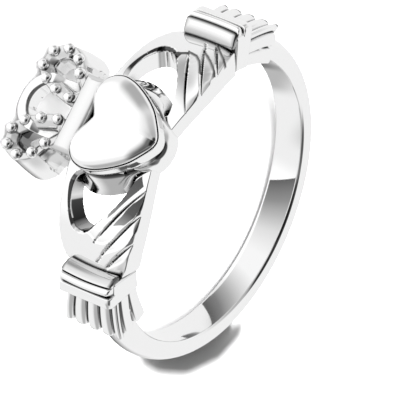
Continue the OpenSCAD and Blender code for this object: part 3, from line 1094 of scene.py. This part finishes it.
# Studio: a pale floor, a light tent with a few dark flags, and two soft lamps
studio = {
    "floorSize": 3.0, "floorColour": (0.75, 0.75, 0.75, 1), "floorRough": 0.6,
    "floorGap": 0.00001,        # metres between the ring and the floor
    "frontLight": 1.15, "sideLight": 0.93, "frontHalf": 46, "frontSoft": 9,
    # Each flag: azimuth and elevation in degrees (azimuth 0 is the camera's side, 90 is +X),
    # half width, half height, softness, and the share of the light that it takes away
    "flags": [
        (34, 64, 48, 27, 10, 0.86),
        (-62, 58, 48, 32, 16, 0.5),
        (0, 90, 200, 32, 6, 0.93),
        (-64, -1, 24, 18, 10, 0.52),
        (112, 46, 28, 15, 8, 0.82),
        (94, 16, 24, 34, 10, 0.5),
        (138, -47, 26, 9, 8, 0.45),
        (172, -56, 24, 8, 5, 0.7),
    ],
    # Name, azimuth, elevation, distance and size in metres, watts. The metal doesn't show them
    "lamps": [
        ("frontLamp", -8, 42, 0.3, 0.34, 1.2),
        ("topLamp", 20, 80, 0.7, 0.7, 20.0),
    ],
    # Small cards beside the ring, in mm: one inside it that the band shows, two over the lower hand
    # that its fingers show, and two black ones that deepen the shadow under the band. A card with
    # light glows, in the steps that it lists from one side to the other
    "blackCard": (0.02, 0.02, 0.02, 1),
    "cards": [
        {"name": "innerCard", "middle": (0.375, 5.9, -2.9), "across": (1, 0, 0), "up": (0, 0, 1),
         "outline": [(-3.225, -1.4), (3.225, -1.4), (3.225, 1.4), (-3.225, 1.4)],
         "light": [(0.0, 0.13), (0.147, 0.3), (0.234, 0.53), (0.318, 0.8), (0.44, 1.0), (0.55, 1.0),
                   (0.63, 0.75), (0.72, 0.46), (0.83, 0.23), (0.95, 0.14), (1.0, 0.12)]},
        {"name": "fingerCardOne", "middle": (3.815, -8.662, 4.705), "across": (0.929, 0.37, 0),
         "up": (-0.074, 0.184, 0.98), "light": [(0.0, 0.1), (0.6, 0.16), (1.0, 0.4)],
         "outline": [(-2.04, -0.04), (-1.33, 0.29), (-0.92, 0.04), (-0.42, -0.29), (0.08, -0.63),
                     (0.67, -1.04), (1.12, -1.46), (0.75, -1.38), (0.0, -0.88), (-0.87, -0.5),
                     (-1.67, -0.46), (-1.87, -0.25)]},
        {"name": "fingerCardTwo", "middle": (3.815, -8.662, 4.705), "across": (0.929, 0.37, 0),
         "up": (-0.074, 0.184, 0.98), "light": [(0.0, 0.08), (0.55, 0.12), (1.0, 0.45)],
         "outline": [(-0.83, 1.25), (-0.08, 1.5), (0.17, 0.67), (0.42, 0.29), (0.83, -0.17),
                     (1.21, -0.54), (1.46, -1.17), (1.21, -1.0), (0.75, -0.63), (0.17, -0.29),
                     (-0.21, 0.04), (-0.54, 0.58)]},
        {"name": "shadowCard", "middle": (0, 0, -3.1), "across": (1, 0, 0), "up": (0, 1, 0),
         "light": [],
         "outline": [(9.27, 4.42), (7.89, 6.2), (6.53, 7.83), (4.82, 9.68), (3.9, 10.5),
                     (5.0, 11.1), (7.1, 10.4), (9.0, 8.6), (9.9, 6.4), (9.9, 4.6)]},
        {"name": "coreCard", "middle": (0, 0, -3.9), "across": (1, 0, 0), "up": (0, 1, 0),
         "light": [],
         "outline": [(8.83, 4.78), (7.14, 6.69), (5.66, 8.17), (4.47, 9.42), (4.9, 10.0),
                     (6.6, 9.3), (8.2, 7.7), (9.2, 5.5)]},
    ],
}


def makeFloor():
    floor = newMesh("studioFloor", bpy.ops.mesh.primitive_plane_add, size=studio["floorSize"],
                    location=(0, 0, cadBox[0].z - studio["floorGap"]))
    mat = bpy.data.materials.new("paleFloor")
    mat.use_nodes = True
    setInputs(mat.node_tree, mat.node_tree.nodes["Principled BSDF"],
              {"Base Color": studio["floorColour"], "Roughness": studio["floorRough"]})
    floor.data.materials.append(mat)
    floor.visible_glossy = False            # the polished metal shows the tent below it as well


def makeSurround():
    world = bpy.data.worlds.new("studioSurround")
    bpy.context.scene.world = world
    world.use_nodes = True
    tree = world.node_tree

    def step(kind, *values):
        return mathNode(tree, kind, *values)

    def softStep(value, edge, soft, results):
        ends = (radians(edge - soft), radians(edge + soft))
        return rangeNode(tree, step("ABSOLUTE", value), ends, results,
                         interpolation_type="SMOOTHSTEP")

    way = addNode(tree, "TexCoord").outputs["Generated"]
    split = addNode(tree, "SeparateXYZ", {"Vector": way}).outputs
    azimuth = step("ARCTAN2", split["X"], step("MULTIPLY", split["Y"], -1))
    elevation = step("ARCSINE", split["Z"])
    light = softStep(azimuth, studio["frontHalf"], studio["frontSoft"],
                     (studio["frontLight"], studio["sideLight"]))
    for az, el, halfAz, halfEl, soft, taken in studio["flags"]:
        besides = step("WRAP", step("SUBTRACT", azimuth, radians(az)), pi, -pi)
        above = step("SUBTRACT", elevation, radians(el))
        cover = step("MULTIPLY", softStep(besides, halfAz, soft, (1, 0)),
                     softStep(above, halfEl, soft, (1, 0)))
        light = step("MULTIPLY", light, step("MULTIPLY_ADD", cover, -taken, 1))
    setInputs(tree, tree.nodes["Background"], {"Color": (1, 1, 1, 1), "Strength": light})


def cardLight(name, light):
    mat = bpy.data.materials.new(name + "Light")
    mat.use_nodes = True
    tree = mat.node_tree
    if not light:
        setInputs(tree, tree.nodes["Principled BSDF"], {"Base Color": studio["blackCard"]})
        return mat
    place = addNode(tree, "TexCoord").outputs["Generated"]
    split = addNode(tree, "SeparateXYZ", {"Vector": place})
    ramp = addNode(tree, "ValToRGB", {"Fac": split.outputs["X"]})
    stops = ramp.color_ramp.elements
    stops[0].position, stops[-1].position = light[0][0], light[-1][0]
    for at, value in light[1:-1]:
        stops.new(at)
    for stop, (at, value) in zip(stops, light):
        stop.color = (value, value, value, 1)
    glow = addNode(tree, "Emission", {"Color": ramp.outputs["Color"]})
    setInputs(tree, tree.nodes["Material Output"], {"Surface": glow.outputs["Emission"]})
    return mat


def makeCards():
    for card in studio["cards"]:
        middle, across, up = (Vector(card[key]) for key in ("middle", "across", "up"))
        obj = newMesh(card["name"], bpy.ops.mesh.primitive_circle_add,
                      vertices=len(card["outline"]), radius=1, fill_type="NGON")
        for v, (x, y) in zip(obj.data.vertices, card["outline"]):
            v.co = (middle + across * x + up * y) * mmToMetre
        obj.data.materials.append(cardLight(card["name"], card["light"]))
        hidden = ["camera", "transmission", "volume_scatter"]
        hidden += ["diffuse", "shadow"] if card["light"] else ["glossy"]
        for ray in hidden:
            setattr(obj, "visible_" + ray, False)


def makeLamps():
    for name, az, el, far, size, watts in studio["lamps"]:
        az, el = radians(az), radians(el)
        way = Vector((sin(az) * cos(el), -cos(az) * cos(el), sin(el)))
        bpy.ops.object.light_add(type="AREA", location=way * far)
        lamp = bpy.context.object
        lamp.name = name
        lamp.rotation_euler = way.to_track_quat("Z", "Y").to_euler()
        lamp.data.shape = "DISK"
        lamp.data.size = size
        lamp.data.energy = watts
        lamp.visible_glossy = False


makeFloor()
makeSurround()
makeCards()
makeLamps()
bpy.context.scene.view_settings.view_transform = "Standard"
print("studio made")
